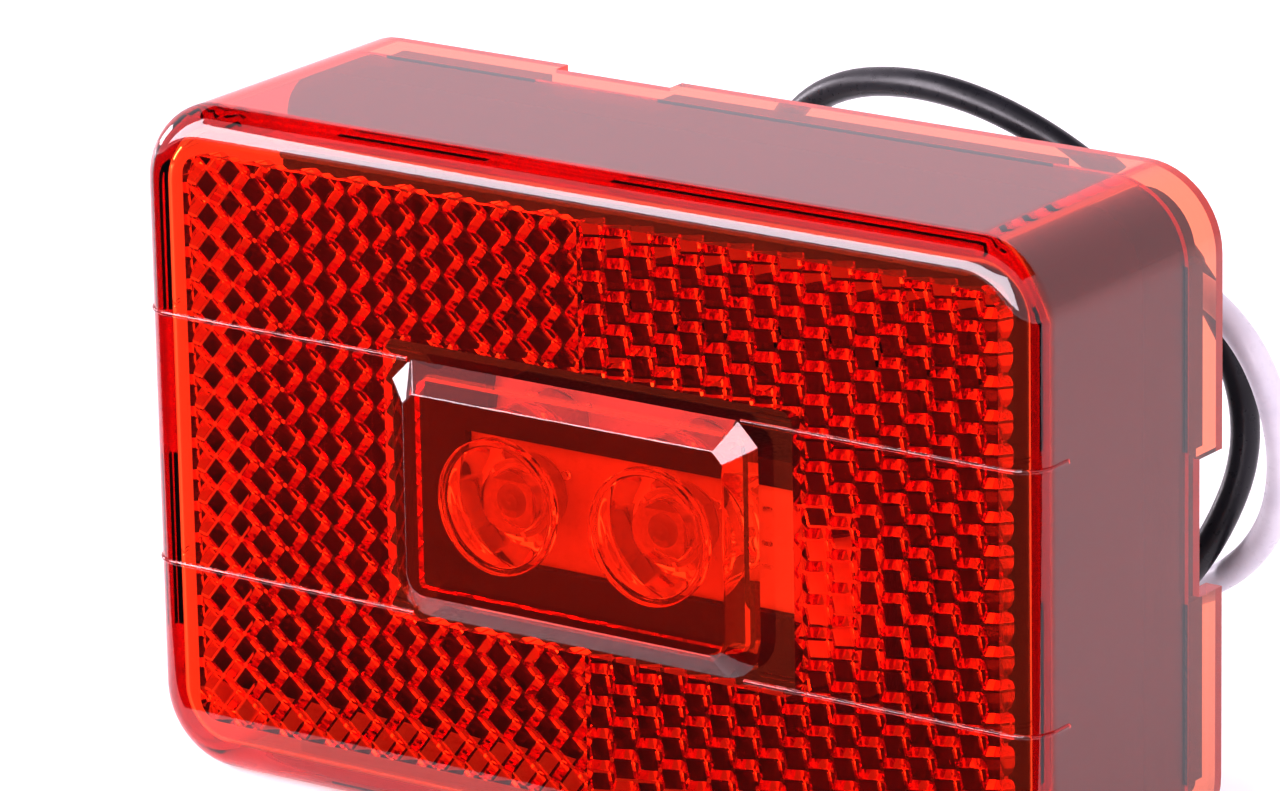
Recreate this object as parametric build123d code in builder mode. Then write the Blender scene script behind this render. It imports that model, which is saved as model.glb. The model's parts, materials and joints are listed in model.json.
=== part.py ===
"""Rectangular red LED marker lamp with a built-in reflex reflector.

Frame: X to the right, Y to the back, Z up, in millimetres.  The origin is the centre of the
rear rim plane, which lies against the vehicle.  A depth such as `lamp_depth` is a distance
forward of that plane, towards -Y, because Plane.XZ faces -Y.
"""

from build123d import *
from math import pi, radians, tan
import os

os.makedirs("parts", exist_ok=True)

# ---- Driving dimensions -------------------------------------------------------------------

lamp_width = 76.2
lamp_height = 50.0
lamp_depth = 24.0           # rear rim to the flat front of the lens
corner_radius = 6.0
front_fillet = 2.5
lens_wall = 2.0
slab_thickness = 1.6        # front of the lens, down to the valleys of the prisms
prism_mean_height = 0.98

boss_width = 31.2           # raised bezel around the window
boss_height = 18.8
boss_radius = 2.2
boss_rise = 1.5
window_width = 27.2
window_height = 14.8
window_radius = 0.5
window_thickness = 2.5      # from the front of the boss to the back of the window

field_width = 69.0          # prism field
field_height = 42.6
field_radius = 1.6
smooth_width = 34.8         # smooth frame between the prisms and the window
smooth_height = 20.7
smooth_radius = 1.0
smooth_x = 0.4

ridge_width = 0.3           # witness lines in line with the top and bottom of the boss
ridge_rise = 0.15

rim_wall = 1.3              # the wall is rebated at the rear for the housing's tabs
rebate_depth = 3.6
notch_width = 10.0
side_notch_depth = 3.0
long_notch_depth = 1.5
long_notch_x = -12.0

fit_gap = 0.15              # between the lens and the housing
housing_front = 8.8
housing_rear = 1.2
housing_floor = 1.8
housing_wall = 1.6
tab_rear = 1.5

board_x = 4.2               # the board sits off the lamp's centre
board_z = -1.85
board_width = 36.4
board_height = 10.3
board_thickness = 1.6
board_front = 16.5
board_play = 0.1            # all round, in the pocket
pocket_wall = 1.4
lip_width = 0.5             # the lip in front of the board's edge
lip_thickness = 0.8

potting_rear = 3.0

led_places = {"left": -7.8, "right": 5.2}
led_z = -0.9
led_width = 3.5
led_height = 2.8
led_body = 1.9
led_foot = 0.15             # thickness of the terminals under the package
led_cup_radius = 1.2
led_cup_floor_radius = 1.0
led_cup_depth = 1.1
led_dome_rise = 0.35
die_size = 0.7
die_thickness = 0.15

optic_radius = 5.0
optic_rear = 16.9
optic_front = 21.7
optic_flange = 0.8
optic_rear_radius = 3.4
optic_shoulder_radius = 4.7
optic_pocket_radius = 2.6
optic_pocket_front = 19.2
optic_bowl_radius = 4.2
optic_bowl_depth = 1.0
optic_foot_radius = 0.35

lead_diameter = 2.15
core_diameter = 1.2
lead_hole_x = 2.5
lead_hole_z = -4.6
hole_radius = 0.65
insulation_front = 8.0      # the insulation starts here, inside the potting
core_front = 16.9
bare_tip = 8.0
arc_share = 0.45            # share of the shorter run that an arc of the route takes up

# Routes of the two leads, from inside the potting to the cut end of the insulation.
# They loop up behind the lamp and come down to the surface that the lamp stands on.
black_route = [
    (-2.5, -8.0, -4.6),
    (-2.8, 4.8, -4.6),
    (-7.5, 12.0, 6.0),
    (-9.5, 13.5, 15.0),
    (-3.0, 11.5, 23.0),
    (9.5, 8.5, 25.5),
    (21.0, 8.5, 22.0),
    (27.5, 13.5, 13.0),
    (32.5, 14.5, 2.0),
    (30.5, 10.5, -7.5),
    (23.5, 8.0, -14.5),
    (15.0, 10.5, -20.0),
    (5.0, 15.0, -22.5),
    (-9.0, 18.0, -23.5),
    (-22.0, 17.0, -23.8),
]
white_route = [
    (2.5, -8.0, -4.6),
    (2.8, 4.8, -4.6),
    (7.5, 12.0, 4.0),
    (18.0, 12.0, 13.0),
    (29.5, 8.5, 14.5),
    (37.0, 7.5, 9.5),
    (38.0, 9.5, -1.0),
    (31.5, 12.5, -9.5),
    (18.5, 15.5, -14.0),
    (6.5, 19.5, -16.5),
    (-6.5, 23.0, -20.0),
    (-19.5, 24.5, -23.0),
    (-32.5, 23.0, -23.8),
]


def plane(depth, x=0.0, z=0.0):
    """A plane facing the front, the given depth forward of the rear rim."""
    return Plane(origin=(x, -depth, z), x_dir=(1, 0, 0), z_dir=(0, -1, 0))


def turning_plane(x, z):
    """A plane through the axis of an optic or a package, for profiles that revolve."""
    return Plane(origin=(x, 0, z), x_dir=(1, 0, 0), z_dir=(0, 0, 1))


def cap_radius(base_radius, rise):
    """Radius of the sphere whose cap has this base and rise."""
    return (base_radius ** 2 + rise ** 2) / (2 * rise)


def save(builder, name):
    builder.part.label = name
    export_step(builder.part, f"parts/{name}.step")


# ---- Lens cover ---------------------------------------------------------------------------

slab_rear = lamp_depth - slab_thickness
window_rear = lamp_depth + boss_rise - window_thickness

with BuildPart() as lens_cover:
    with BuildSketch(plane(0)):
        RectangleRounded(lamp_width, lamp_height, corner_radius)
    extrude(amount=lamp_depth)
    fillet(lens_cover.faces().sort_by(Axis.Y)[0].edges(), radius=front_fillet)

    # The bezel around the window narrows towards its flat front.
    with BuildSketch(plane(lamp_depth)):
        RectangleRounded(boss_width, boss_height, boss_radius)
    with BuildSketch(plane(lamp_depth + boss_rise)):
        RectangleRounded(window_width, window_height, window_radius)
    loft()

    # Two fine raised lines cross the front in line with the bezel's long edges.
    ridge_length = lamp_width - 2 * front_fillet
    with BuildSketch(plane(lamp_depth)):
        with GridLocations(0, boss_height, 1, 2):
            Rectangle(ridge_length, ridge_width)
    extrude(amount=ridge_rise)

    # Hollow, with a thinner rim at the rear.
    with BuildSketch(plane(0)):
        RectangleRounded(lamp_width - 2 * lens_wall, lamp_height - 2 * lens_wall,
                         corner_radius - lens_wall)
    extrude(amount=slab_rear, mode=Mode.SUBTRACT)
    with BuildSketch(plane(0)):
        RectangleRounded(lamp_width - 2 * rim_wall, lamp_height - 2 * rim_wall,
                         corner_radius - rim_wall)
    extrude(amount=rebate_depth, mode=Mode.SUBTRACT)
    with BuildSketch(plane(slab_rear)):
        Rectangle(window_width, window_height)
    extrude(amount=window_rear - slab_rear, mode=Mode.SUBTRACT)

    # The reflex prisms, as a plate of their mean height.
    with BuildSketch(plane(slab_rear - prism_mean_height)):
        RectangleRounded(field_width, field_height, field_radius)
        with Locations((smooth_x, 0)):
            RectangleRounded(smooth_width, smooth_height, smooth_radius, mode=Mode.SUBTRACT)
    extrude(amount=prism_mean_height)

    # Notches in the rear rim, one in each side.
    with BuildSketch(plane(0)):
        with GridLocations(lamp_width, 0, 2, 1):
            Rectangle(3 * lens_wall, notch_width)
    extrude(amount=side_notch_depth, mode=Mode.SUBTRACT)
    with BuildSketch(plane(0, x=long_notch_x)):
        with GridLocations(0, lamp_height, 1, 2):
            Rectangle(notch_width, 3 * lens_wall)
    extrude(amount=long_notch_depth, mode=Mode.SUBTRACT)

save(lens_cover, "lens_cover")

# ---- Rear housing -------------------------------------------------------------------------

housing_width = lamp_width - 2 * (lens_wall + fit_gap)
housing_height = lamp_height - 2 * (lens_wall + fit_gap)
housing_radius = corner_radius - lens_wall - fit_gap
floor_rear = housing_front - housing_floor
tab_reach = lens_wall - rim_wall
tab_length = 13.3
side_tab_z = notch_width / 2 + 0.5 + tab_length / 2
tab_thickness = rebate_depth - tab_rear
pocket_width = board_width + 2 * board_play
pocket_height = board_height + 2 * board_play

with BuildPart() as rear_housing:
    with BuildSketch(plane(housing_rear)):
        RectangleRounded(housing_width, housing_height, housing_radius)
    extrude(amount=housing_front - housing_rear)

    # A pedestal carries the board forward, close behind the window.
    with BuildSketch(plane(housing_front, x=board_x, z=board_z)):
        RectangleRounded(pocket_width + 2 * pocket_wall, pocket_height + 2 * pocket_wall,
                         pocket_wall)
    extrude(amount=board_front + lip_thickness - housing_front)

    # The tub is open at the rear.
    with BuildSketch(plane(housing_rear)):
        RectangleRounded(housing_width - 2 * housing_wall, housing_height - 2 * housing_wall,
                         housing_radius - housing_wall)
    extrude(amount=floor_rear - housing_rear, mode=Mode.SUBTRACT)

    # The board drops into its pocket from the rear, against a lip that frames its front.
    with BuildSketch(plane(floor_rear, x=board_x, z=board_z)):
        Rectangle(pocket_width, pocket_height)
    extrude(amount=board_front - floor_rear, mode=Mode.SUBTRACT)
    with BuildSketch(plane(board_front, x=board_x, z=board_z)):
        Rectangle(board_width - 2 * lip_width, board_height - 2 * lip_width)
    extrude(amount=lip_thickness, mode=Mode.SUBTRACT)

    # Tabs that seat in the rebate of the lens, beside each notch.
    with BuildSketch(plane(tab_rear)):
        with GridLocations(housing_width, 2 * side_tab_z, 2, 2):
            Rectangle(2 * tab_reach, tab_length)
        with GridLocations(0, housing_height, 1, 2):
            with Locations((long_notch_x - notch_width - 2, 0)):
                Rectangle(tab_length, 2 * tab_reach)
            with Locations((10, 0)):
                Rectangle(2.5 * tab_length, 2 * tab_reach)
    extrude(amount=tab_thickness)

    # The tabs were drawn through the wall; the inside of the tub is cleared of them.
    with BuildSketch(plane(housing_rear)):
        RectangleRounded(housing_width - 2 * housing_wall, housing_height - 2 * housing_wall,
                         housing_radius - housing_wall)
    extrude(amount=floor_rear - housing_rear, mode=Mode.SUBTRACT)

save(rear_housing, "rear_housing")

# ---- Circuit board ------------------------------------------------------------------------

board_rear = board_front - board_thickness

with BuildPart() as circuit_board:
    with BuildSketch(plane(board_rear)):
        with Locations((board_x, board_z)):
            RectangleRounded(board_width, board_height, 0.6)
        with Locations((-lead_hole_x, lead_hole_z), (lead_hole_x, lead_hole_z)):
            Circle(hole_radius, mode=Mode.SUBTRACT)
    extrude(amount=board_thickness)

save(circuit_board, "circuit_board")

# ---- Light sources ------------------------------------------------------------------------

package_rear = board_front + led_foot
package_front = package_rear + led_body
cup_floor = package_front - led_cup_depth

for side, x in led_places.items():
    # Four terminals under the package, two at each end.
    with BuildPart() as terminals:
        with BuildSketch(plane(board_front, x, led_z)):
            with GridLocations(led_width - 0.2, 1.5, 2, 2):
                Rectangle(0.9, 0.7)
        extrude(amount=led_foot)
    save(terminals, f"led_{side}_terminals")

    # White package with a round cup.
    with BuildPart() as package:
        with BuildSketch(plane(package_rear, x, led_z)):
            RectangleRounded(led_width, led_height, 0.15)
        extrude(amount=led_body)
        with BuildSketch(plane(cup_floor, x, led_z)):
            Circle(led_cup_floor_radius)
        with BuildSketch(plane(package_front, x, led_z)):
            Circle(led_cup_radius)
        loft(mode=Mode.SUBTRACT)
    save(package, f"led_{side}_package")

    with BuildPart() as die:
        with BuildSketch(plane(cup_floor, x, led_z)):
            Rectangle(die_size, die_size)
        extrude(amount=die_thickness)
    save(die, f"led_{side}_die")

    # Clear resin fills the cup around the die and stands proud of it as a low dome.
    with BuildPart() as dome:
        with BuildSketch(turning_plane(x, led_z)):
            with BuildLine():
                Polyline((0, -package_front - led_dome_rise), (0, -cup_floor),
                         (led_cup_floor_radius, -cup_floor), (led_cup_radius, -package_front))
                RadiusArc((led_cup_radius, -package_front),
                          (0, -package_front - led_dome_rise),
                          cap_radius(led_cup_radius, led_dome_rise))
            make_face()
        revolve(axis=Axis((x, 0, led_z), (0, 1, 0)))
        add(die.part, mode=Mode.SUBTRACT)
    save(dome, f"led_{side}_resin")

    # Collimating optic on three short feet over the package.
    with BuildPart() as optic:
        with BuildSketch(turning_plane(x, led_z)):
            with BuildLine():
                Polyline((0, -optic_pocket_front), (optic_pocket_radius, -optic_pocket_front),
                         (optic_pocket_radius, -optic_rear), (optic_rear_radius, -optic_rear),
                         (optic_shoulder_radius, -optic_front + optic_flange),
                         (optic_radius, -optic_front + optic_flange),
                         (optic_radius, -optic_front), (optic_bowl_radius, -optic_front))
                RadiusArc((optic_bowl_radius, -optic_front),
                          (0, -optic_front + optic_bowl_depth),
                          -cap_radius(optic_bowl_radius, optic_bowl_depth))
                Line((0, -optic_front + optic_bowl_depth), (0, -optic_pocket_front))
            make_face()
        revolve(axis=Axis((x, 0, led_z), (0, 1, 0)))
        with BuildSketch(plane(board_front, x, led_z)):
            with PolarLocations((optic_pocket_radius + optic_rear_radius) / 2, 3, -90):
                Circle(optic_foot_radius)
        extrude(amount=optic_rear - board_front)
    save(optic, f"optic_{side}")

# ---- Components on the back of the board --------------------------------------------------

chip_length = 3.2
chip_width = 1.6
cap_length = 0.4
resistor_height = 0.6
capacitor_height = 1.2
resistor_places = {"left": (-9.0, -4.6), "right": (12.0, -4.6)}
capacitor_place = (12.0, 0.6)
diode_place = (0.0, 0.6)
diode_length = 4.3
diode_width = 2.6
diode_height = 2.0
diode_foot = 0.2

for side, (x, z) in resistor_places.items():
    with BuildPart() as resistor:
        with BuildSketch(plane(board_rear - resistor_height, x=x, z=z)):
            Rectangle(chip_length - 2 * cap_length, chip_width)
        extrude(amount=resistor_height)
    save(resistor, f"resistor_{side}")

with BuildPart() as resistor_end_caps:
    for x, z in resistor_places.values():
        with BuildSketch(plane(board_rear - resistor_height, x=x, z=z)):
            with GridLocations(chip_length - cap_length, 0, 2, 1):
                Rectangle(cap_length, chip_width)
        extrude(amount=resistor_height)
save(resistor_end_caps, "resistor_end_caps")

with BuildPart() as surge_capacitor:
    with BuildSketch(plane(board_rear - capacitor_height, *capacitor_place)):
        Rectangle(chip_length - 2 * cap_length, chip_width)
    extrude(amount=capacitor_height)
save(surge_capacitor, "surge_capacitor")

with BuildPart() as capacitor_end_caps:
    with BuildSketch(plane(board_rear - capacitor_height, *capacitor_place)):
        with GridLocations(chip_length - cap_length, 0, 2, 1):
            Rectangle(cap_length, chip_width)
    extrude(amount=capacitor_height)
save(capacitor_end_caps, "capacitor_end_caps")

with BuildPart() as polarity_diode:
    with BuildSketch(plane(board_rear - diode_foot - diode_height, *diode_place)):
        Rectangle(diode_length, diode_width)
    extrude(amount=diode_height)
    chamfer(polarity_diode.faces().sort_by(Axis.Y)[-1].edges(), length=0.3)
save(polarity_diode, "polarity_diode")

with BuildPart() as diode_terminals:
    with BuildSketch(plane(board_rear - diode_foot, *diode_place)):
        with GridLocations(diode_length - 0.6, 0, 2, 1):
            Rectangle(1.5, 1.4)
    extrude(amount=diode_foot)
save(diode_terminals, "diode_terminals")

# ---- Leads --------------------------------------------------------------------------------


def arc_radii(points):
    """Radius of the arc at each corner of a route, as large as its two runs allow."""
    runs = [Vector(*b) - Vector(*a) for a, b in zip(points, points[1:])]
    return [arc_share * min(a.length, b.length) / tan(radians(a.get_angle(b)) / 2)
            for a, b in zip(runs, runs[1:])]


leads = {"black": black_route, "white": white_route}
cords = []
for colour, points in leads.items():
    radii = arc_radii(points)
    with BuildPart() as insulation:
        with BuildLine():
            route = FilletPolyline(*points, radius=radii)
        with BuildSketch(Plane(origin=route @ 0, z_dir=route % 0)):
            Circle(lead_diameter / 2)
        sweep()
    save(insulation, f"{colour}_lead_insulation")
    share = insulation.part.volume / (route.length * pi * lead_diameter ** 2 / 4)
    print(f"{colour} lead: {route.length:.1f} mm, volume over section times length {share:.4f},",
          "radii", [round(r, 1) for r in radii])

    # Bare strands at the free end.
    with BuildPart() as tip:
        with BuildSketch(Plane(origin=route @ 1, z_dir=route % 1)):
            Circle(core_diameter / 2)
        extrude(amount=bare_tip)
    save(tip, f"{colour}_lead_tip")

    # Stripped end that passes through the board.
    with BuildPart() as core:
        with BuildSketch(plane(insulation_front, x=points[0][0], z=points[0][2])):
            Circle(core_diameter / 2)
        extrude(amount=core_front - insulation_front)
    save(core, f"{colour}_lead_core")
    cords += [insulation.part, core.part]

solder_radius = 1.3
solder_height = 1.2
solder_top_radius = core_diameter / 2 + 0.15

with BuildPart() as solder_joints:
    for x in (-lead_hole_x, lead_hole_x):
        with BuildSketch(plane(board_rear - solder_height, x=x, z=lead_hole_z)):
            Circle(solder_top_radius)
        with BuildSketch(plane(board_rear, x=x, z=lead_hole_z)):
            Circle(solder_radius)
        loft()
    for x in (-lead_hole_x, lead_hole_x):
        with BuildSketch(plane(board_rear - solder_height, x=x, z=lead_hole_z)):
            Circle(core_diameter / 2)
        extrude(amount=solder_height, mode=Mode.SUBTRACT)
save(solder_joints, "solder_joints")

# ---- Potting compound ---------------------------------------------------------------------

buried = [resistor_end_caps.part, surge_capacitor.part, capacitor_end_caps.part,
          polarity_diode.part, diode_terminals.part, solder_joints.part, *cords]

with BuildPart() as potting_compound:
    with BuildSketch(plane(potting_rear)):
        RectangleRounded(housing_width - 2 * housing_wall, housing_height - 2 * housing_wall,
                         housing_radius - housing_wall)
    extrude(amount=floor_rear - potting_rear)
    with BuildSketch(plane(floor_rear, x=board_x, z=board_z)):
        Rectangle(pocket_width, pocket_height)
    extrude(amount=board_rear - floor_rear)
    for x, z in resistor_places.values():
        with BuildSketch(plane(board_rear - resistor_height, x=x, z=z)):
            Rectangle(chip_length - 2 * cap_length, chip_width)
        extrude(amount=resistor_height, mode=Mode.SUBTRACT)
    add(buried, mode=Mode.SUBTRACT)
save(potting_compound, "potting_compound")
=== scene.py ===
"""Rectangular red LED marker lamp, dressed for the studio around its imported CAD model.

Everything is in metres in the row frame: X right, Y back, Z up.  A depth is a distance forward
of the rear rim plane, towards -Y.
"""

import json
from math import atan2, cos, pi, radians, sin, sqrt

import bmesh
import bpy
from mathutils import Matrix, Vector
from mathutils.geometry import tessellate_polygon

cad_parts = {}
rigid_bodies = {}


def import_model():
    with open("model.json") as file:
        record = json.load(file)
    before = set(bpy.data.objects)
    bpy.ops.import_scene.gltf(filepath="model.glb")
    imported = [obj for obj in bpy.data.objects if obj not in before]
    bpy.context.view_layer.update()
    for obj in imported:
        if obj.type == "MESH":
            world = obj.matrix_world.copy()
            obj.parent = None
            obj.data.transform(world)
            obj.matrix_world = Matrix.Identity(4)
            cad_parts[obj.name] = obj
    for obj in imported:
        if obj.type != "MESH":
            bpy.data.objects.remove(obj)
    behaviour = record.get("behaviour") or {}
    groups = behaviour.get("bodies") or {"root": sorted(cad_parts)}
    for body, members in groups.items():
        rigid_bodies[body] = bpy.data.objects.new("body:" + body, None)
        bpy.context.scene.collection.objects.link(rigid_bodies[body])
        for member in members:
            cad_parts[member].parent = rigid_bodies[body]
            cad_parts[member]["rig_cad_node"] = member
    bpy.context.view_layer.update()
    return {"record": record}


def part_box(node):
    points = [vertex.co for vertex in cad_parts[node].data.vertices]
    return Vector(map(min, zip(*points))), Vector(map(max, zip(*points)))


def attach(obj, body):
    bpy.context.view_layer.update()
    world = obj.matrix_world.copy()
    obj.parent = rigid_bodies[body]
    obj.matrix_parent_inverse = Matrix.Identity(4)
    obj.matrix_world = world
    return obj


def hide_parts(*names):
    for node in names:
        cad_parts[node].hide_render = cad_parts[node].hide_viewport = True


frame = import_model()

MM = 0.001

# ---- Sizes, from the frame where it has them ----------------------------------------------

lens_low, lens_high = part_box("lens_cover")
LAMP_WIDTH = lens_high.x - lens_low.x
LAMP_HEIGHT = lens_high.z - lens_low.z
BOSS_RISE = 1.5 * MM
LAMP_DEPTH = -lens_low.y - BOSS_RISE
CORNER_RADIUS = 6.0 * MM
FRONT_FILLET = 2.5 * MM
LENS_WALL = 2.0 * MM
RIM_WALL = 1.3 * MM
REBATE_DEPTH = 3.6 * MM
SLAB_THICKNESS = 1.6 * MM
SLAB_REAR = LAMP_DEPTH - SLAB_THICKNESS
INNER_FILLET = 0.8 * MM

BOSS_WIDTH, BOSS_HEIGHT = 31.2 * MM, 18.8 * MM
WINDOW_WIDTH, WINDOW_HEIGHT = 27.2 * MM, 14.8 * MM
WINDOW_THICKNESS = 2.5 * MM
WINDOW_REAR = LAMP_DEPTH + BOSS_RISE - WINDOW_THICKNESS

FIELD_WIDTH, FIELD_HEIGHT = 69.0 * MM, 42.6 * MM
FIELD_RADIUS = 1.6 * MM
SMOOTH_WIDTH, SMOOTH_HEIGHT = 34.8 * MM, 20.7 * MM
SMOOTH_RADIUS = 1.0 * MM
SMOOTH_X = 0.4 * MM
SEAM = 0.02 * MM            # half the gap between the two halves of the prism field
PLINTH = 0.08 * MM
PRISM_EDGE = 0.14 * MM      # width of the flats along the prisms' edges
PRISM_PITCH = 2.39 * MM
PRISM_RADIUS = PRISM_PITCH / sqrt(3)
PRISM_STEP = PRISM_RADIUS / sqrt(2)     # rise from valley to shoulder, and shoulder to apex
PRISM_COLUMNS = range(-1, 18)           # from the seam outward, past the field's border
PRISM_ROWS = range(-10, 11)
PRISM_SKIRT = 1.0 * MM                  # how far a block runs into the slab before it is cut

NOTCH_WIDTH = 10.0 * MM
SIDE_NOTCH_DEPTH = 3.0 * MM
LONG_NOTCH_DEPTH = 1.5 * MM
LONG_NOTCH_X = -12.0 * MM

RIDGE_WIDTH, RIDGE_RISE = 0.36 * MM, 0.15 * MM
BOSS_CUT, FACE_CUT = 1.7 * MM, 0.85 * MM    # flats across the upper corners of the bezel
BOSS_RADIUS, FACE_RADIUS = 3.0 * MM, 1.4 * MM
BOSS_EDGE = 0.12 * MM
ARROW_PLACE = (28.3 * MM, 19.9 * MM)

LEAD_DIAMETER = 2.15 * MM
TIP_LENGTH = 8.0 * MM
potting_low, potting_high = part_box("potting_compound")
POTTING_REAR = -potting_high.y
LED_Z = (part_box("optic_left")[0].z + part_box("optic_left")[1].z) / 2
FLOOR_Z = lens_low.z

# The leads' routes, from inside the potting to the cut end of the insulation.
BLACK_ROUTE = [
    (-2.5, -8.0, -4.6),
    (-2.8, 4.8, -4.6),
    (-7.5, 12.0, 6.0),
    (-9.5, 13.5, 15.0),
    (-3.0, 11.5, 23.0),
    (9.5, 8.5, 25.5),
    (21.0, 8.5, 22.0),
    (27.5, 13.5, 13.0),
    (32.5, 14.5, 2.0),
    (30.5, 10.5, -7.5),
    (23.5, 8.0, -14.5),
    (15.0, 10.5, -20.0),
    (5.0, 15.0, -22.5),
    (-9.0, 18.0, -23.5),
    (-22.0, 17.0, -23.8),
]
WHITE_ROUTE = [
    (2.5, -8.0, -4.6),
    (2.8, 4.8, -4.6),
    (7.5, 12.0, 4.0),
    (18.0, 12.0, 13.0),
    (29.5, 8.5, 14.5),
    (37.0, 7.5, 9.5),
    (38.0, 9.5, -1.0),
    (31.5, 12.5, -9.5),
    (18.5, 15.5, -14.0),
    (6.5, 19.5, -16.5),
    (-6.5, 23.0, -20.0),
    (-19.5, 24.5, -23.0),
    (-32.5, 23.0, -23.8),
]
LEADS = {"black": (BLACK_ROUTE, 0.1612), "white": (WHITE_ROUTE, 0.1458)}

# ---- Mesh helpers -------------------------------------------------------------------------


def rounded_outline(width, height, radius, steps):
    """Points (x, z) of a rounded rectangle, anticlockwise seen from the front."""
    points = []
    for quarter, (sx, sz) in enumerate(((1, 1), (-1, 1), (-1, -1), (1, -1))):
        cx, cz = sx * (width / 2 - radius), sz * (height / 2 - radius)
        for i in range(steps + 1):
            a = (quarter + i / steps) * pi / 2
            points.append((cx + radius * cos(a), cz + radius * sin(a)))
    return points


def loop_verts(bm, outline, depth):
    return [bm.verts.new((x, -depth, z)) for x, z in outline]


def bridge(bm, a, b):
    for i in range(len(a)):
        j = (i + 1) % len(a)
        bm.faces.new((a[i], a[j], b[j], b[i]))


def fill(bm, *loops):
    """Flat triangles between an outer loop and any holes inside it."""
    flat = [v for loop in loops for v in loop]
    rings = [[Vector((v.co.x, v.co.z, 0)) for v in loop] for loop in loops]
    for triangle in tessellate_polygon(rings):
        bm.faces.new([flat[i] for i in triangle])


def mark_sharp(bm, angle=30):
    for face in bm.faces:
        face.smooth = True
    for edge in bm.edges:
        edge.smooth = len(edge.link_faces) == 2 and edge.calc_face_angle(0) < radians(angle)


def to_object(bm, name, material=None, sharp=30):
    bmesh.ops.recalc_face_normals(bm, faces=bm.faces)
    mark_sharp(bm, sharp)
    mesh = bpy.data.meshes.new(name)
    bm.to_mesh(mesh)
    bm.free()
    piece = bpy.data.objects.new(name, mesh)
    bpy.context.scene.collection.objects.link(piece)
    if material:
        mesh.materials.append(material)
    return piece


def apply_modifiers(piece):
    graph = bpy.context.evaluated_depsgraph_get()
    mesh = bpy.data.meshes.new_from_object(piece.evaluated_get(graph))
    piece.modifiers.clear()
    piece.data = mesh


def combine(piece, tool, operation):
    """Boolean with a tool mesh, which is used up."""
    modifier = piece.modifiers.new("cut", "BOOLEAN")
    modifier.operation = operation
    modifier.solver = "EXACT"
    modifier.object = tool
    apply_modifiers(piece)
    bpy.data.objects.remove(tool)


# ---- Materials ----------------------------------------------------------------------------


def principled(name, color, roughness, **inputs):
    material = bpy.data.materials.new(name)
    material.use_nodes = True
    shader = material.node_tree.nodes["Principled BSDF"]
    shader.inputs["Base Color"].default_value = (*color, 1)
    shader.inputs["Roughness"].default_value = roughness
    for key, value in inputs.items():
        shader.inputs[key.replace("_", " ")].default_value = value
    return material


def add_node(material, kind, **inputs):
    node = material.node_tree.nodes.new(kind)
    for key, value in inputs.items():
        node.inputs[key.replace("_", " ")].default_value = value
    return node


def wire(material, a, output, b, socket):
    material.node_tree.links.new(a.outputs[output], b.inputs[socket])


def object_noise(material, scale, detail=3.0):
    """Noise that stays with the piece, with its scale in features per metre."""
    place = add_node(material, "ShaderNodeTexCoord")
    noise = add_node(material, "ShaderNodeTexNoise", Scale=scale, Detail=detail)
    wire(material, place, "Object", noise, "Vector")
    return noise


def bumpy(material, scale, distance, strength=1.0, detail=3.0):
    """Fine relief.  The distance is its height in metres."""
    noise = object_noise(material, scale, detail)
    bump = add_node(material, "ShaderNodeBump", Strength=strength, Distance=distance)
    wire(material, noise, "Fac", bump, "Height")
    wire(material, bump, "Normal", material.node_tree.nodes["Principled BSDF"], "Normal")
    return noise


def ranged(material, source, socket, low, high, start=0.35, end=0.65):
    """Drive a number of the shader from a texture, between two values."""
    spread = add_node(material, "ShaderNodeMapRange")
    for key, value in (("From Min", start), ("From Max", end), ("To Min", low), ("To Max", high)):
        spread.inputs[key].default_value = value
    wire(material, source, "Fac", spread, "Value")
    wire(material, spread, "Result", material.node_tree.nodes["Principled BSDF"], socket)


def tinted(material, source, colors, start=0.35, end=0.65):
    """Drive the base colour from a texture, between two colours."""
    ramp = add_node(material, "ShaderNodeValToRGB")
    ends = ramp.color_ramp.elements
    ends[0].position, ends[1].position = start, end
    for stop, color in zip(ends, colors):
        stop.color = (*color, 1)
    wire(material, source, "Fac", ramp, "Fac")
    wire(material, ramp, "Color", material.node_tree.nodes["Principled BSDF"], "Base Color")


def red_acrylic(finish):
    """Deep red in its thickness.  The matte finish is the rear edges', and scatters light too."""
    polished = finish == "polished"
    tint = (0.9, 0.36, 0.255) if polished else (0.9, 0.26, 0.1)
    material = principled(f"red lens acrylic {finish}", tint, 0.0,
                          Transmission_Weight=1.0 if polished else 0.45, IOR=1.49)
    absorption = add_node(material, "ShaderNodeVolumeAbsorption")
    absorption.inputs["Color"].default_value = (0.99, 0.6, 0.35, 1)
    absorption.inputs["Density"].default_value = 1100.0
    wire(material, absorption, "Volume", material.node_tree.nodes["Material Output"], "Volume")
    handling = object_noise(material, 90.0, 6.0)
    if polished:
        ranged(material, handling, "Roughness", 0.0, 0.02, 0.45, 0.75)
    else:
        ranged(material, handling, "Roughness", 0.45, 0.65)
    return material


def housing_plastic():
    material = principled("dark housing plastic", (0.012, 0.011, 0.015), 0.5, Specular_IOR_Level=0.3)
    grain = bumpy(material, 3500.0, 0.000004, 0.2)
    ranged(material, grain, "Roughness", 0.42, 0.62)
    clouds = object_noise(material, 150.0)
    tinted(material, clouds, ((0.009, 0.008, 0.012), (0.016, 0.014, 0.02)))
    return material


def board_mask():
    """White solder mask, slightly uneven in colour, gloss and relief."""
    material = principled("white solder mask", (0.8, 0.8, 0.78), 0.3, Coat_Weight=0.3)
    weave = bumpy(material, 2500.0, 0.00001, 0.4)
    ranged(material, weave, "Roughness", 0.26, 0.4)
    patches = object_noise(material, 400.0)
    tinted(material, patches, ((0.74, 0.74, 0.71), (0.84, 0.84, 0.82)))
    return material


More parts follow.
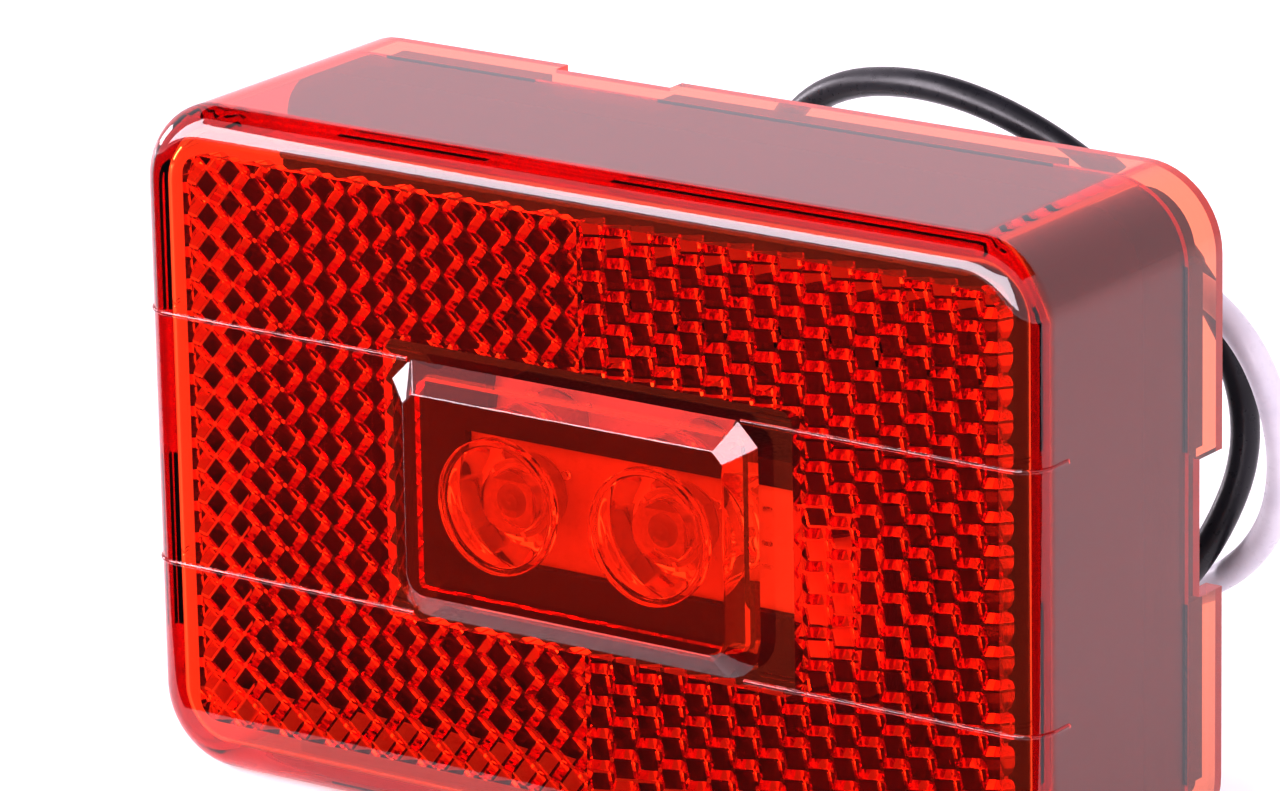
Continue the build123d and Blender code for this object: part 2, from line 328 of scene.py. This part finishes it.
def speckled(name, dark, light, roughness, scale=3000.0, height=0.00001, **inputs):
    """A plain moulded, fired or cast surface with fine variation in colour, gloss and relief."""
    material = principled(name, light, roughness, **inputs)
    grain = bumpy(material, scale, height, 0.6)
    tinted(material, grain, (dark, light))
    ranged(material, grain, "Roughness", roughness * 0.85, min(1.0, roughness * 1.2))
    return material


def clear(name, ior, roughness, cloud=0.0):
    """A clear moulding; the cloud is the share of light that it scatters."""
    material = principled(name, (0.98, 0.98, 0.98), roughness,
                          Transmission_Weight=1.0 - cloud, IOR=ior)
    faint = object_noise(material, 600.0)
    ranged(material, faint, "Roughness", roughness, roughness + 0.04)
    return material


def insulation(name, dark, light):
    """Extruded PVC: a soft sheen with fine unevenness and light scuffs."""
    material = principled(name, light, 0.3, Specular_IOR_Level=0.25)
    skin = bumpy(material, 1800.0, 0.00001, 0.6, 5.0)
    ranged(material, skin, "Roughness", 0.26, 0.36)
    scuffs = object_noise(material, 260.0, 6.0)
    tinted(material, scuffs, (dark, light), 0.3, 0.6)
    return material


def epoxy():
    """Cured potting compound: glossy, with slow waves and specks of dust."""
    material = principled("potting epoxy", (0.012, 0.012, 0.014), 0.16, Coat_Weight=0.4)
    waves = bumpy(material, 110.0, 0.0004, 0.8, 4.0)
    ranged(material, waves, "Roughness", 0.12, 0.3)
    dust = object_noise(material, 5000.0, 2.0)
    tinted(material, dust, ((0.011, 0.011, 0.013), (0.03, 0.03, 0.032)), 0.5, 0.72)
    return material


def copper():
    material = principled("bare copper", (0.78, 0.38, 0.2), 0.3, Metallic=1.0)
    tarnish = bumpy(material, 3500.0, 0.00001, 0.5)
    tinted(material, tarnish, ((0.52, 0.22, 0.11), (0.82, 0.42, 0.24)))
    ranged(material, tarnish, "Roughness", 0.22, 0.45)
    return material


matte_red = red_acrylic("matte")
LOOKS = {
    "red_lens": red_acrylic("polished"),
    "dark_housing": housing_plastic(),
    "board": board_mask(),
    "led_white": speckled("led package white", (0.72, 0.72, 0.7), (0.86, 0.86, 0.84), 0.45),
    "clear_resin": clear("clear silicone", 1.41, 0.02, cloud=0.5),
    "led_die": speckled("led die", (0.6, 0.55, 0.3), (0.8, 0.75, 0.45), 0.2),
    "tinned_metal": speckled("tinned metal", (0.5, 0.5, 0.5), (0.75, 0.75, 0.74), 0.3, Metallic=1.0),
    "clear_optic": clear("clear optic acrylic", 1.49, 0.0),
    "dark_component": speckled("dark component", (0.02, 0.02, 0.022), (0.05, 0.05, 0.052), 0.5),
    "capacitor_ceramic": speckled("fired ceramic", (0.4, 0.28, 0.17), (0.55, 0.42, 0.28), 0.6),
    "solder": speckled("solder", (0.5, 0.5, 0.51), (0.72, 0.72, 0.73), 0.24, Metallic=1.0),
    "potting": epoxy(),
    "black_insulation": insulation("black PVC", (0.006, 0.006, 0.008), (0.012, 0.012, 0.015)),
    "white_insulation": insulation("white PVC", (0.58, 0.56, 0.63), (0.7, 0.68, 0.74)),
    "bare_copper": copper(),
}

# ---- Lens ---------------------------------------------------------------------------------


def frame_outline(width, height, radius, steps, sign, shift=0):
    """The half of a rounded rectangle on one side of the middle, from its top to its bottom."""
    points = [(x, z) for x, z in rounded_outline(width, height, radius, steps) if x * sign > 0]
    points.sort(key=lambda p: -atan2(p[1], abs(p[0])))
    points = [(x + shift, z) for x, z in points]
    seam = SEAM * sign
    return [(seam, height / 2), *points, (seam, -height / 2)]


def prism_surface(sign):
    """Corner-cube prisms with flats along their edges, past the borders of half the field."""
    bm = bmesh.new()
    made = {}     # neighbouring faces share their corners

    def vert(x, z, level):
        key = round(8 * x / PRISM_RADIUS), round(8 * z / PRISM_PITCH)
        if key not in made:
            made[key] = bm.verts.new((x, -(SLAB_REAR - PLINTH - level * PRISM_STEP), z))
        return made[key]

    first = 0 if sign < 0 else 1      # direction of the first shoulder, in sixths of a turn
    for i in PRISM_COLUMNS:
        x = sign * (i + 0.5) * 1.5 * PRISM_RADIUS
        column = i if sign > 0 else -1 - i
        for j in PRISM_ROWS:
            z = (j + 0.5 * (column % 2)) * PRISM_PITCH
            for k in (first, first + 2, first + 4):
                # One square face of the cube: apex, shoulder, valley, shoulder.
                ring = [vert(x, z, 2)]
                for m, level in ((k, 1), (k + 1, 0), (k + 2, 1)):
                    ring.append(vert(x + PRISM_RADIUS * cos(m * pi / 3),
                                     z + PRISM_RADIUS * sin(m * pi / 3), level))
                bm.faces.new(ring)
    bmesh.ops.recalc_face_normals(bm, faces=bm.faces)
    inner = [e for e in bm.edges if len(e.link_faces) == 2]
    bmesh.ops.bevel(bm, geom=inner, offset=PRISM_EDGE, segments=1, profile=0.5, affect="EDGES",
                    clamp_overlap=True)
    return bm


def prism_block(sign):
    """One half of the prism field, cut to its outline, open at the slab."""
    bm = prism_surface(sign)
    rim = [e for e in bm.edges if len(e.link_faces) == 1]
    skirt = bmesh.ops.extrude_edge_only(bm, edges=rim)["geom"]
    low = [v for v in skirt if isinstance(v, bmesh.types.BMVert)]
    for v in low:
        v.co.y = -(SLAB_REAR + PRISM_SKIRT)
    lid = -(SLAB_REAR + 0.9 * PRISM_SKIRT)
    low_edges = [e for e in bm.edges if all(v.co.y < lid for v in e.verts)]
    bmesh.ops.contextual_create(bm, geom=low_edges)
    block = to_object(bm, "prism block")

    tool_bm = bmesh.new()
    outline = frame_outline(FIELD_WIDTH, FIELD_HEIGHT, FIELD_RADIUS, 6, sign)
    outline += reversed(frame_outline(SMOOTH_WIDTH, SMOOTH_HEIGHT, SMOOTH_RADIUS, 6, sign,
                                      SMOOTH_X))
    past_apexes = SLAB_REAR - 4 * MM
    ends = [loop_verts(tool_bm, outline, depth) for depth in (SLAB_REAR, past_apexes)]
    bridge(tool_bm, *ends)
    for end in ends:
        tool_bm.faces.new(end)
    combine(block, to_object(tool_bm, "outline"), "INTERSECT")

    bm = bmesh.new()
    bm.from_mesh(block.data)
    bpy.data.objects.remove(block)
    flat = [f for f in bm.faces if all(abs(v.co.y + SLAB_REAR) < 1e-6 for v in f.verts)]
    bmesh.ops.delete(bm, geom=flat, context="FACES")
    return bm


def add_block(bm, block):
    """Copy an open block into the lens.  Returns its rim as a loop of vertices."""
    copies = {v: bm.verts.new(v.co) for v in block.verts}
    for face in block.faces:
        bm.faces.new([copies[v] for v in face.verts])
    rim = {}
    for edge in block.edges:
        if len(edge.link_faces) == 1:
            a, b = edge.verts
            rim.setdefault(a, []).append(b)
            rim.setdefault(b, []).append(a)
    start = next(iter(rim))
    loop = [start]
    came, here = start, rim[start][0]
    while here is not start:
        loop.append(here)
        came, here = here, next(v for v in rim[here] if v is not came)
    return [copies[v] for v in loop]


def lens_outline(inset, steps=12):
    return rounded_outline(LAMP_WIDTH - 2 * inset, LAMP_HEIGHT - 2 * inset,
                           CORNER_RADIUS - inset, steps)


def bezel_outline(width, height, cut, radius, steps=6):
    """A rectangle with flats across its upper corners and rounded lower ones."""
    w, h = width / 2, height / 2
    points = [(w, h - cut), (w - cut, h), (cut - w, h), (-w, h - cut)]
    for sign, start in ((-1, pi), (1, 1.5 * pi)):
        cx, cz = sign * (w - radius), radius - h
        for i in range(steps + 1):
            a = start + i / steps * pi / 2
            points.append((cx + radius * cos(a), cz + radius * sin(a)))
    return points


def build_lens():
    bm = bmesh.new()

    # Outside: straight walls, then the fillet into the flat front.
    outer = [loop_verts(bm, lens_outline(0), 0),
             loop_verts(bm, lens_outline(0), LAMP_DEPTH - FRONT_FILLET)]
    fillet_steps = 16
    for i in range(1, fillet_steps + 1):
        a = i / fillet_steps * pi / 2
        outer.append(loop_verts(bm, lens_outline(FRONT_FILLET * (1 - cos(a))),
                                LAMP_DEPTH - FRONT_FILLET * (1 - sin(a))))
    for a, b in zip(outer, outer[1:]):
        bridge(bm, a, b)

    # Bezel around the window.
    base = loop_verts(bm, bezel_outline(BOSS_WIDTH, BOSS_HEIGHT, BOSS_CUT, BOSS_RADIUS), LAMP_DEPTH)
    face = loop_verts(bm, bezel_outline(WINDOW_WIDTH, WINDOW_HEIGHT, FACE_CUT, FACE_RADIUS),
                      LAMP_DEPTH + BOSS_RISE)
    fill(bm, outer[-1], base)
    bridge(bm, base, face)
    bm.faces.new(face)
    crests = [e for e in bm.edges if all(v in face for v in e.verts)]
    crests += [e for i in range(4) for e in base[i].link_edges if e.other_vert(base[i]) is face[i]]
    bmesh.ops.bevel(bm, geom=crests, offset=BOSS_EDGE, segments=2, profile=0.5, affect="EDGES")

    # Inside: rebated rim, walls, a small fillet, the slab with the prisms and the window.
    inner = [loop_verts(bm, lens_outline(RIM_WALL), 0),
             loop_verts(bm, lens_outline(RIM_WALL), REBATE_DEPTH),
             loop_verts(bm, lens_outline(LENS_WALL), REBATE_DEPTH),
             loop_verts(bm, lens_outline(LENS_WALL), SLAB_REAR - INNER_FILLET)]
    inner_steps = 5
    for i in range(1, inner_steps + 1):
        a = i / inner_steps * pi / 2
        inner.append(loop_verts(bm, lens_outline(LENS_WALL + INNER_FILLET * (1 - cos(a))),
                                SLAB_REAR - INNER_FILLET * (1 - sin(a))))
    for a, b in zip(inner, inner[1:]):
        bridge(bm, a, b)
    bridge(bm, outer[0], inner[0])
    borders = [add_block(bm, prism_block(sign)) for sign in (-1, 1)]
    recess = rounded_outline(WINDOW_WIDTH, WINDOW_HEIGHT, 0.5 * MM, 3)
    mouth = loop_verts(bm, recess, SLAB_REAR)
    back = loop_verts(bm, recess, WINDOW_REAR)
    fill(bm, inner[-1], *borders, mouth)
    bridge(bm, mouth, back)
    fill(bm, back)
    return to_object(bm, "red_lens", LOOKS["red_lens"])


def box_tool(low, high):
    bm = bmesh.new()
    bmesh.ops.create_cube(bm, size=1)
    for v in bm.verts:
        v.co = [l + (h - l) * (c + 0.5) for l, h, c in zip(low, high, v.co)]
    return to_object(bm, "tool")


def ridge_tool(sign, z):
    """One half of a raised line: over the fillet and along the front to the bezel's corner."""
    bm = bmesh.new()
    side = LAMP_WIDTH / 2
    centre = side - FRONT_FILLET
    foot = LAMP_DEPTH - 1.6 * FRONT_FILLET
    path = [(side, foot, 0.0)]
    steps, rounds, buried = 16, 8, 0.12 * MM
    for i in range(steps + 1):
        a = i / steps * pi / 2
        path.append((centre + FRONT_FILLET * cos(a),
                     LAMP_DEPTH - FRONT_FILLET * (1 - sin(a)), a))
    inside_bezel = BOSS_WIDTH / 2 - 1.4 * MM
    path.append((inside_bezel, LAMP_DEPTH, pi / 2))
    rings = []
    for x, depth, a in path:
        ring = []
        for i in range(rounds + 1):
            turn = i / rounds * pi
            across = 0.5 * RIDGE_WIDTH * cos(turn)
            lift = RIDGE_RISE * sin(turn) - (buried if i in (0, rounds) else 0)
            ring.append(bm.verts.new((sign * (x + lift * cos(a)), -(depth + lift * sin(a)),
                                      z + across)))
        rings.append(ring)
    for a, b in zip(rings, rings[1:]):
        bridge(bm, a, b)
    bm.faces.new(rings[0])
    bm.faces.new(rings[-1])
    return to_object(bm, "tool")


def arrow_tool():
    """A plain raised arrow that shows which way up the lamp goes."""
    bm = bmesh.new()
    half, stem, top, shoulder, foot = 0.75 * MM, 0.22 * MM, 1.2 * MM, 0.2 * MM, -1.2 * MM
    outline = [(stem, foot), (stem, shoulder), (half, shoulder), (0, top), (-half, shoulder),
               (-stem, shoulder), (-stem, foot)]
    outline = [(x + ARROW_PLACE[0], z + ARROW_PLACE[1]) for x, z in outline]
    ends = [loop_verts(bm, outline, LAMP_DEPTH + lift) for lift in (-0.15 * MM, 0.12 * MM)]
    bridge(bm, *ends)
    for end in ends:
        bm.faces.new(end)
    return to_object(bm, "tool")


def trim_lens(lens):
    """Add the raised lines and the arrow, and cut the notches in the rear rim."""
    for sign in (-1, 1):
        for z in (-BOSS_HEIGHT / 2, BOSS_HEIGHT / 2):
            combine(lens, ridge_tool(sign, z), "UNION")
    combine(lens, arrow_tool(), "UNION")
    half, deep = NOTCH_WIDTH / 2, 2 * LENS_WALL
    for sign in (-1, 1):
        x, z = sign * LAMP_WIDTH / 2, sign * LAMP_HEIGHT / 2
        combine(lens, box_tool((x - deep, -SIDE_NOTCH_DEPTH, -half), (x + deep, deep, half)),
                "DIFFERENCE")
        combine(lens, box_tool((LONG_NOTCH_X - half, -LONG_NOTCH_DEPTH, z - deep),
                               (LONG_NOTCH_X + half, deep, z + deep)), "DIFFERENCE")
    bm = bmesh.new()
    bm.from_mesh(lens.data)
    mark_sharp(bm, 25)
    for face in bm.faces:
        depth = -face.calc_center_median().y
        rearward = abs(face.normal.y) > 0.9 and depth < REBATE_DEPTH + 0.1 * MM
        face.material_index = 1 if rearward else 0
    bm.to_mesh(lens.data)
    bm.free()


def settle(piece, *nodes, slot):
    """Ride on the one body, in place of the CAD nodes. The slot is not used."""
    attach(piece, "root")
    if nodes:
        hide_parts(*nodes)


lens = build_lens()
trim_lens(lens)
lens.data.materials.append(matte_red)
modifier = lens.modifiers.new("normals", "WEIGHTED_NORMAL")
modifier.keep_sharp = True
settle(lens, "lens_cover", slot="red_lens")

# ---- Optics -------------------------------------------------------------------------------


def revolved(name, profile, x, z, material, steps=96):
    """A closed profile of (radius, depth) points turned about an axis along Y."""
    bm = bmesh.new()
    rings = []
    for radius, depth in profile:
        if radius < 1e-9:
            rings.append([bm.verts.new((x, -depth, z))])
        else:
            turn = [2 * pi * i / steps for i in range(steps)]
            rings.append([bm.verts.new((x + radius * cos(a), -depth, z + radius * sin(a)))
                          for a in turn])
    for a, b in zip(rings, rings[1:]):
        for i in range(steps):
            j = (i + 1) % steps
            corners = [a[i % len(a)], a[j % len(a)], b[j % len(b)], b[i % len(b)]]
            bm.faces.new(list(dict.fromkeys(corners)))
    return to_object(bm, name, material, sharp=22)


def arc(start, end, rise, steps=10):
    """Points from start to end on a parabola that stands off the chord by the rise."""
    (r0, d0), (r1, d1) = start, end
    length = sqrt((r1 - r0) ** 2 + (d1 - d0) ** 2)
    nx, ny = (d1 - d0) / length, (r0 - r1) / length
    points = []
    for i in range(steps + 1):
        t = i / steps
        lift = 4 * rise * t * (1 - t)
        points.append((r0 + (r1 - r0) * t + nx * lift, d0 + (d1 - d0) * t + ny * lift))
    return points


def build_optic(side):
    """Collimator: a recessed front in a flange, a bowed reflecting cone, a domed pocket."""
    low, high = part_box(f"optic_{side}")
    x = (low.x + high.x) / 2
    radius = (high.x - low.x) / 2
    front = -low.y
    rear = -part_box(f"led_{side}_package")[1].y + 0.25 * MM
    flange_rear = front - 0.8 * MM
    profile = [(0, front - 0.25 * MM), (radius - 0.6 * MM, front - 0.25 * MM),
               (radius - 0.5 * MM, front - 0.05 * MM), (radius - 0.42 * MM, front),
               (radius - 0.1 * MM, front), (radius, front - 0.1 * MM),
               (radius, flange_rear + 0.1 * MM), (radius - 0.1 * MM, flange_rear)]
    profile += arc((radius - 0.5 * MM, flange_rear), (2.9 * MM, rear), 0.06 * MM)
    profile += [(2.5 * MM, rear)]
    profile += arc((2.35 * MM, 19.0 * MM), (0, 18.6 * MM), 0.1 * MM)
    piece = revolved(f"{side}_collimator", profile, x, LED_Z, LOOKS["clear_optic"])
    feet = bmesh.new()
    feet.from_mesh(piece.data)
    board_front = -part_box("circuit_board")[0].y
    tall = rear - board_front - 0.02 * MM
    foot_circle, foot_radius = 3 * MM, 0.35 * MM
    for turn in (30, 150, 270):
        a = radians(turn)
        place = Matrix.Translation((x + foot_circle * cos(a), -(board_front + rear) / 2,
                                    LED_Z + foot_circle * sin(a)))
        bmesh.ops.create_cone(feet, cap_ends=True, segments=20, radius1=foot_radius,
                              radius2=foot_radius, depth=tall,
                              matrix=place @ Matrix.Rotation(pi / 2, 4, "X"))
    mark_sharp(feet, 22)
    feet.to_mesh(piece.data)
    feet.free()
    settle(piece, f"optic_{side}", slot="clear_optic")


for side in ("left", "right"):
    build_optic(side)

# ---- Board details ------------------------------------------------------------------------

# Places of the pads, in millimetres.
BAR_COLUMNS = (7.0, 11.6, 14.2)
BAR_ROWS = (-3.4, -1.7, 0.8)
SQUARE_COLUMNS = (-12.4, 1.1, 16.2, 19.4)
SQUARE_ROW = -5.4


def build_pads():
    """Bare pads on the face of the board: three columns of bars, and a row of squares below."""
    bm = bmesh.new()
    low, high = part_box("circuit_board")
    top = -low.y

    def pad(x, z, width, height, radius=0.12):
        outline = [(x * MM + px, z * MM + pz) for px, pz in
                   rounded_outline(width * MM, height * MM, radius * MM, 4)]
        ends = [loop_verts(bm, outline, top + lift * MM) for lift in (-0.01, 0.04)]
        bridge(bm, *ends)
        for end in ends:
            bm.faces.new(end)

    for x in BAR_COLUMNS:
        for z in BAR_ROWS:
            pad(x, z, 0.9, 0.35)
    for x in SQUARE_COLUMNS:
        pad(x, SQUARE_ROW, 1.0, 0.9, 0.3)
    settle(to_object(bm, "board_pads", LOOKS["tinned_metal"]), slot="tinned_metal")


build_pads()

# ---- Potting ------------------------------------------------------------------------------

TUB_FLOOR = 7.0 * MM - 0.02 * MM    # just short of the housing's floor


def build_potting():
    """Black epoxy that fills the tub and creeps up its walls and the leads."""
    bm = bmesh.new()
    width = potting_high.x - potting_low.x
    height = potting_high.z - potting_low.z
    radius = 2.25 * MM
    # The creep's profile: distance from the wall and rise above the fill, in millimetres.
    creep = [(0.0, 0.75), (0.12, 0.5), (0.35, 0.27), (0.8, 0.1), (1.6, 0.02), (3.0, 0.0)]
    tuck, sides = 0.06 * MM, 40

    def tub_loop(inset, depth):
        round_off = max(radius - inset, 0.4 * MM)
        return loop_verts(bm, rounded_outline(width - 2 * inset, height - 2 * inset, round_off, 6),
                          depth)

    walls = [tub_loop(0, TUB_FLOOR)]
    walls += [tub_loop(inset * MM, POTTING_REAR - lift * MM) for inset, lift in creep]
    for a, b in zip(walls, walls[1:]):
        bridge(bm, a, b)
    holes = []
    for route, _ in LEADS.values():
        x, z = route[0][0] * MM, route[0][2] * MM
        rings = []
        for inset, lift in creep[:5]:
            r = LEAD_DIAMETER / 2 - tuck + 0.8 * inset * MM
            outline = [(x + r * cos(2 * pi * i / sides), z + r * sin(2 * pi * i / sides))
                       for i in range(sides)]
            rings.append(loop_verts(bm, outline, POTTING_REAR - lift * MM))
        for a, b in zip(rings, rings[1:]):
            bridge(bm, a, b)
        shaft = loop_verts(bm, [(v.co.x, v.co.z) for v in rings[0]], TUB_FLOOR)
        bridge(bm, rings[0], shaft)
        holes.append((rings[-1], shaft))
    fill(bm, walls[-1], *(ring for ring, _ in holes))
    fill(bm, walls[0], *(shaft for _, shaft in holes))
    piece = to_object(bm, "potting_fill", LOOKS["potting"], sharp=40)
    settle(piece, "potting_compound", slot="potting")


build_potting()

# ---- Leads --------------------------------------------------------------------------------


def build_strands(colour, start, direction):
    """Seven bare strands, six twisted round one, opening a little at their cut ends."""
    bm = bmesh.new()
    strand = 0.19 * MM
    across = direction.cross(Vector((0, 0, 1))).normalized()
    over = across.cross(direction)
    steps, sides = 26, 8
    inside = 1.2 * MM       # start of the strands, back inside the insulation
    ring_radius, turns, flare = 0.39 * MM, 1.3, 0.35
    for k in range(7):
        path = []
        for i in range(steps + 1):
            t = i / steps
            spin = k * pi / 3 + turns * 2 * pi * t
            spread = (0 if k == 6 else ring_radius) * (1 + flare * t ** 4)
            path.append(start + direction * (t * (TIP_LENGTH + inside) - inside)
                        + (across * cos(spin) + over * sin(spin)) * spread)
        rings = []
        for i, p in enumerate(path):
            along = (path[min(i + 1, steps)] - path[max(i - 1, 0)]).normalized()
            u = along.cross(over).normalized()
            w = along.cross(u)
            rings.append([bm.verts.new(p + (u * cos(a) + w * sin(a)) * strand)
                          for a in (2 * pi * j / sides for j in range(sides))])
        for a, b in zip(rings, rings[1:]):
            bridge(bm, a, b)
        bm.faces.new(rings[0])
        bm.faces.new(rings[-1])
    piece = to_object(bm, f"{colour}_lead_strands", LOOKS["bare_copper"], sharp=40)
    settle(piece, f"{colour}_lead_tip", slot="bare_copper")
    return piece


def build_lead(colour, route):
    curve = bpy.data.curves.new(f"{colour}_lead", "CURVE")
    curve.dimensions = "3D"
    curve.bevel_depth = LEAD_DIAMETER / 2
    curve.bevel_resolution = 9
    curve.resolution_u = 14
    curve.use_fill_caps = True
    spline = curve.splines.new("NURBS")
    spline.points.add(len(route) - 1)
    for point, place in zip(spline.points, route):
        point.co = (*(c * MM for c in place), 1)
    spline.order_u = 3
    spline.use_endpoint_u = True
    curve.materials.append(LOOKS[f"{colour}_insulation"])
    piece = bpy.data.objects.new(f"{colour}_lead", curve)
    bpy.context.scene.collection.objects.link(piece)
    settle(piece, f"{colour}_lead_insulation", slot=f"{colour}_insulation")
    end = Vector(route[-1]) * MM
    direction = (end - Vector(route[-2]) * MM).normalized()
    strands = build_strands(colour, end, direction)


for colour, (route, length) in LEADS.items():
    build_lead(colour, route)

# ---- Finishes of the CAD pieces that stay -------------------------------------------------

slots = {row["node"]: row["material_slot"] for row in frame["record"]["subparts"]}
node_object = {o["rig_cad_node"]: o for o in bpy.context.scene.objects if "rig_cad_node" in o}
for name, piece in node_object.items():
    piece.data.materials.clear()
    piece.data.materials.append(LOOKS[slots[name]])

# ---- Studio -------------------------------------------------------------------------------

world = bpy.data.worlds.new("studio")
bpy.context.scene.world = world
world.use_nodes = True
world.node_tree.nodes["Background"].inputs["Color"].default_value = (1, 0.88, 1, 1)
world.node_tree.nodes["Background"].inputs["Strength"].default_value = 1.2


def plane_object(name, corners, material):
    bm = bmesh.new()
    bm.faces.new([bm.verts.new(c) for c in corners])
    mesh = bpy.data.meshes.new(name)
    bm.to_mesh(mesh)
    bm.free()
    piece = bpy.data.objects.new(name, mesh)
    bpy.context.scene.collection.objects.link(piece)
    mesh.materials.append(material)
    return piece


FLOOR_REACH = 3.0
plane_object("floor",
             [(x * FLOOR_REACH, y * FLOOR_REACH, FLOOR_Z)
              for x, y in ((-1, -1), (1, -1), (1, 1), (-1, 1))],
             principled("floor", (0.85, 0.83, 0.86), 0.9, Emission_Strength=0.25))

black_card = principled("black card", (0.02, 0.02, 0.025), 1.0, Specular_IOR_Level=0.0)


def flag(name, corners):
    """A black card that only reflections see."""
    card = plane_object(name, corners, black_card)
    card.visible_camera = False
    card.visible_diffuse = False
    card.visible_transmission = False
    card.visible_shadow = False


on_floor = FLOOR_Z + 0.0002
flag("floor flag", [(-0.8, -0.8, on_floor), (0.5, -0.8, on_floor),
                    (0.5, -0.034, on_floor), (-0.8, -0.034, on_floor)])


def aside(turn, rise, distance):
    """A place round the lamp: degrees to the left of its front, degrees up, metres away."""
    a, e = radians(turn), radians(rise)
    return Vector((-sin(a) * cos(e), -cos(a) * cos(e), sin(e))) * distance


def lit_panel(name, corners, radiance, distance):
    """A lit panel that the camera doesn't see, with its corners as turns and rises."""
    material = principled(name, (0, 0, 0), 1.0, Emission_Strength=radiance)
    shader = material.node_tree.nodes["Principled BSDF"]
    shader.inputs["Emission Color"].default_value = (1, 0.9, 1, 1)
    middle = sum((aside(turn, rise, 1) for turn, rise in corners), Vector()).normalized()
    places = []
    for turn, rise in corners:
        toward = aside(turn, rise, 1)
        places.append(toward * (distance / toward.dot(middle)))
    panel = plane_object(name, places, material)
    panel.visible_camera = False
    panel.visible_shadow = False
    return panel


def softbox(name, corners, sheen, fill):
    """Two panels, one just behind the other: reflections see one, the other lights the rest."""
    seen = lit_panel(f"{name} sheen", corners, sheen, 0.8)
    seen.visible_diffuse = False
    seen.visible_transmission = False
    lighting = lit_panel(f"{name} fill", corners, fill, 0.81)
    lighting.visible_glossy = False


softbox("left softbox", [(38, 4), (62, 4), (62, 46), (38, 25)], 17, 7)
softbox("side softbox", [(82, 3), (98, 3), (98, 16), (82, 16)], 17, 60)
softbox("front softbox", [(-26, 4), (38, 4), (38, 25), (0, 30), (-26, 38)], 17, 7)
flag("overhead flag", [(-0.9, -0.35, 0.9), (0.9, -0.35, 0.9), (0.9, 0.9, 0.9), (-0.9, 0.9, 0.9)])

# ---- Camera -------------------------------------------------------------------------------

camera_data = bpy.data.cameras.new("camera")
camera = bpy.data.objects.new("camera", camera_data)
bpy.context.scene.collection.objects.link(camera)
AZIMUTH, ELEVATION, ROLL = radians(35.3), radians(16.93), radians(-1.07)
DISTANCE = 0.5712
AIM = Vector((5.8 * MM, -LAMP_DEPTH, 9.9 * MM))
back = Vector((sin(AZIMUTH) * cos(ELEVATION), -cos(AZIMUTH) * cos(ELEVATION), sin(ELEVATION)))
camera.location = AIM + back * DISTANCE
camera.rotation_mode = "QUATERNION"
aim_rotation = (-back).to_track_quat("-Z", "Y")
camera.rotation_quaternion = aim_rotation @ Matrix.Rotation(ROLL, 4, "Z").to_quaternion()
camera_data.lens = 233.0
camera_data.sensor_width = 36.0
camera_data.clip_start, camera_data.clip_end = 0.01, 20
bpy.context.scene.camera = camera

bpy.context.scene.view_settings.view_transform = "Standard"
bpy.context.scene.cycles.max_bounces = 24
bpy.context.scene.cycles.transmission_bounces = 24
bpy.context.scene.cycles.glossy_bounces = 16
